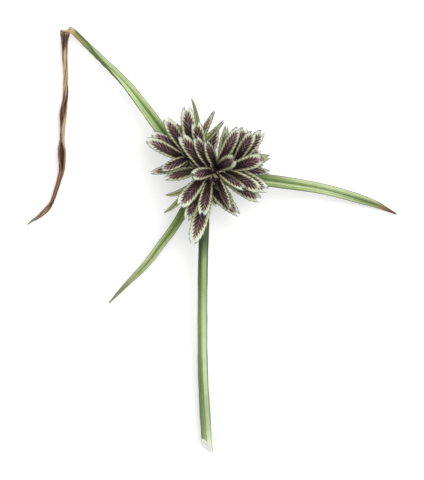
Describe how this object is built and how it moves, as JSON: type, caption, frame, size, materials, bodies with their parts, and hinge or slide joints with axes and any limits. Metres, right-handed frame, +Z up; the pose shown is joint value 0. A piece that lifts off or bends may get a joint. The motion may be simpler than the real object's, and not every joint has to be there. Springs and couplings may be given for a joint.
{
  "type": "cut cyperus glaber flowering stem",
  "caption": "Cut sedge stem lying flat: three-sided stem, dense round head of flat dark scaly spikelets, long leafy bracts, one folded over and withered; decorative plant part.",
  "frame": {"origin": "middle of the overall box, on the surface the stem lies on", "axes": "+Y from the stem's cut end towards its head, +Z up from the surface, +X to the right as seen from above"},
  "size_m": [0.0925, 0.1068, 0.0222],
  "materials": {
    "stem_green": "smooth fresh green stem, satin, with fine lengthwise lines",
    "leaf_green": "satin green leaf blade with parallel veins; the folded bract's outer half is withered brown and papery",
    "spikelet_scales": "dry matt scales, dark purple-brown with pale green and cream margins"
  },
  "bodies": {
    "root": {"bract_folded": "leaf_green", "bract_lower_left": "leaf_green", "bract_right": "leaf_green", "bract_small": "leaf_green", "bractlet_lower": "leaf_green", "bractlet_upper": "leaf_green", "culm": "stem_green", "ray_front": "stem_green", "ray_left": "stem_green", "ray_lower": "stem_green", "ray_right": "stem_green", "spikelet_centre_1": "spikelet_scales", "spikelet_centre_2": "spikelet_scales", "spikelet_left_1": "spikelet_scales", "spikelet_left_2": "spikelet_scales", "spikelet_left_3": "spikelet_scales", "spikelet_lower_1": "spikelet_scales", "spikelet_lower_2": "spikelet_scales", "spikelet_lower_3": "spikelet_scales", "spikelet_lower_4": "spikelet_scales", "spikelet_lower_5": "spikelet_scales", "spikelet_lower_6": "spikelet_scales", "spikelet_lower_7": "spikelet_scales", "spikelet_lower_8": "spikelet_scales", "spikelet_right_1": "spikelet_scales", "spikelet_right_10": "spikelet_scales", "spikelet_right_11": "spikelet_scales", "spikelet_right_12": "spikelet_scales", "spikelet_right_2": "spikelet_scales", "spikelet_right_3": "spikelet_scales", "spikelet_right_4": "spikelet_scales", "spikelet_right_5": "spikelet_scales", "spikelet_right_6": "spikelet_scales", "spikelet_right_7": "spikelet_scales", "spikelet_right_8": "spikelet_scales", "spikelet_right_9": "spikelet_scales", "spikelet_under_1": "spikelet_scales", "spikelet_under_10": "spikelet_scales", "spikelet_under_2": "spikelet_scales", "spikelet_under_3": "spikelet_scales", "spikelet_under_4": "spikelet_scales", "spikelet_under_5": "spikelet_scales", "spikelet_under_6": "spikelet_scales", "spikelet_under_7": "spikelet_scales", "spikelet_under_8": "spikelet_scales", "spikelet_under_9": "spikelet_scales", "spikelet_upper_1": "spikelet_scales", "spikelet_upper_10": "spikelet_scales", "spikelet_upper_11": "spikelet_scales", "spikelet_upper_12": "spikelet_scales", "spikelet_upper_2": "spikelet_scales", "spikelet_upper_3": "spikelet_scales", "spikelet_upper_4": "spikelet_scales", "spikelet_upper_5": "spikelet_scales", "spikelet_upper_6": "spikelet_scales", "spikelet_upper_7": "spikelet_scales", "spikelet_upper_8": "spikelet_scales", "spikelet_upper_9": "spikelet_scales"}
  },
  "joints": []
}
